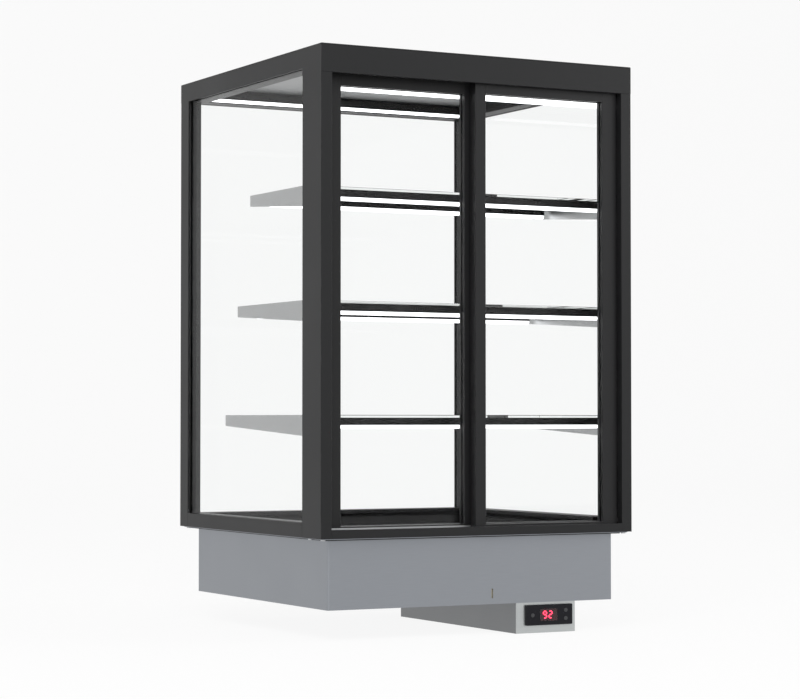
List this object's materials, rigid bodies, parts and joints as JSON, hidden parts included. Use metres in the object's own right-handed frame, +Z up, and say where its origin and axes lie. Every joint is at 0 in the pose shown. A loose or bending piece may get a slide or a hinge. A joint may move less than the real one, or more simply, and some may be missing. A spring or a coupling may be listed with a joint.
{
  "type": "drop-in heated display case",
  "caption": "Glazed counter-top display case on a drop-in tub, with a heated deck, lit glass shelves, sliding doors on the operator's side and a controller in a box under the tub.",
  "frame": {"origin": "middle of the case's footprint on the counter top, where the tub passes through the cut-out", "axes": "+X to the operator's right along the case, +Y from the operator's sliding doors to the customer's rear glass, +Z up"},
  "size_m": [0.6, 0.58, 0.976],
  "materials": {
    "frame_black": "satin black",
    "ceiling_grey": "gloss grey",
    "track_aluminium": "satin anodised",
    "dark_aluminium": "satin black",
    "opal": "opal, lit",
    "clear_glass": "clear tempered",
    "seal_rubber": "matt black",
    "stainless": "brushed stainless",
    "deck_black": "black enamelled tempered glass",
    "heater_silicone": "matt silicone",
    "wool": "mineral wool",
    "screw_steel": "zinc plated",
    "probe_steel": "stainless",
    "shelf_black": "satin black",
    "bracket_steel": "satin stainless",
    "door_black": "satin black",
    "roller_nylon": "natural nylon",
    "controller_black": "gloss black",
    "window_tint": "dark red, clear",
    "digit_red": "lit red",
    "key_black": "matt",
    "terminal_plastic": "matt cream",
    "gland_nylon": "matt black"
  },
  "bodies": {
    "case": {"base_rail_front": "frame_black", "base_rail_rear": "frame_black", "base_rail_left": "frame_black", "base_rail_right": "frame_black", "post_front_left": "frame_black", "post_front_right": "frame_black", "post_rear_left": "frame_black", "post_rear_right": "frame_black", "header_rail": "frame_black", "top_rail_rear": "frame_black", "top_rail_left": "frame_black", "top_rail_right": "frame_black", "roof_panel": "frame_black", "ceiling_panel": "ceiling_grey", "bottom_track": "track_aluminium", "top_track": "dark_aluminium", "lamp_holders": "dark_aluminium", "led_diffusers": "opal", "side_glass_left": "clear_glass", "side_glass_right": "clear_glass", "rear_glass": "clear_glass", "shelf_top_glass": "clear_glass", "shelf_middle_glass": "clear_glass", "shelf_bottom_glass": "clear_glass", "glass_seals": "seal_rubber", "counter_gasket": "seal_rubber", "track_buffers": "seal_rubber", "tub": "stainless", "control_front": "stainless", "control_box": "stainless", "deck_glass": "deck_black", "heater_mat": "heater_silicone", "insulation": "wool", "frame_screws": "screw_steel", "deck_probe": "probe_steel", "shelf_top_bars": "shelf_black", "shelf_middle_bars": "shelf_black", "shelf_bottom_bars": "shelf_black", "shelf_top_brackets": "bracket_steel", "shelf_middle_brackets": "bracket_steel", "shelf_bottom_brackets": "bracket_steel", "controller_case": "controller_black", "controller_window": "window_tint", "controller_digits": "digit_red", "terminal_block": "terminal_plastic", "cable_gland": "gland_nylon"},
    "left_door": {"left_door_glass": "clear_glass", "left_door_stiles": "door_black", "left_door_rails": "door_black"},
    "right_door": {"right_door_glass": "clear_glass", "right_door_stiles": "door_black", "right_door_rails": "door_black"},
    "left_door_outer_roller": {"left_door_outer_roller": "roller_nylon"},
    "left_door_inner_roller": {"left_door_inner_roller": "roller_nylon"},
    "right_door_outer_roller": {"right_door_outer_roller": "roller_nylon"},
    "right_door_inner_roller": {"right_door_inner_roller": "roller_nylon"},
    "key_set": {"key_set": "key_black"},
    "key_up": {"key_up": "key_black"},
    "key_down": {"key_down": "key_black"}
  },
  "joints": [
    {"name": "left_door_slide", "type": "slide", "parent": "case", "child": "left_door", "axis": [1, 0, 0], "range_m": [0, 0.272]},
    {"name": "right_door_slide", "type": "slide", "parent": "case", "child": "right_door", "axis": [1, 0, 0], "range_m": [-0.272, 0]},
    {"name": "left_door_outer_roller_spin", "type": "hinge", "parent": "left_door", "child": "left_door_outer_roller", "pos_m": [-0.2625, -0.2495, 0.0123], "axis": [0, 1, 0], "range_deg": [-3600, 3600]},
    {"name": "left_door_inner_roller_spin", "type": "hinge", "parent": "left_door", "child": "left_door_inner_roller", "pos_m": [-0.002, -0.2495, 0.0123], "axis": [0, 1, 0], "range_deg": [-3600, 3600]},
    {"name": "right_door_outer_roller_spin", "type": "hinge", "parent": "right_door", "child": "right_door_outer_roller", "pos_m": [0.2625, -0.27, 0.0123], "axis": [0, 1, 0], "range_deg": [-3600, 3600]},
    {"name": "right_door_inner_roller_spin", "type": "hinge", "parent": "right_door", "child": "right_door_inner_roller", "pos_m": [0.002, -0.27, 0.0123], "axis": [0, 1, 0], "range_deg": [-3600, 3600]},
    {"name": "key_set_press", "type": "slide", "parent": "case", "child": "key_set", "axis": [0, 1, 0], "range_m": [0, 0.001], "stiffness_N_per_m": 400},
    {"name": "key_up_press", "type": "slide", "parent": "case", "child": "key_up", "axis": [0, 1, 0], "range_m": [0, 0.001], "stiffness_N_per_m": 400},
    {"name": "key_down_press", "type": "slide", "parent": "case", "child": "key_down", "axis": [0, 1, 0], "range_m": [0, 0.001], "stiffness_N_per_m": 400}
  ],
  "couplings": [
    {"joint": "left_door_outer_roller_spin", "follows": "left_door_slide", "rad_per_m": 222.22},
    {"joint": "left_door_inner_roller_spin", "follows": "left_door_slide", "rad_per_m": 222.22},
    {"joint": "right_door_outer_roller_spin", "follows": "right_door_slide", "rad_per_m": 222.22},
    {"joint": "right_door_inner_roller_spin", "follows": "right_door_slide", "rad_per_m": 222.22}
  ]
}
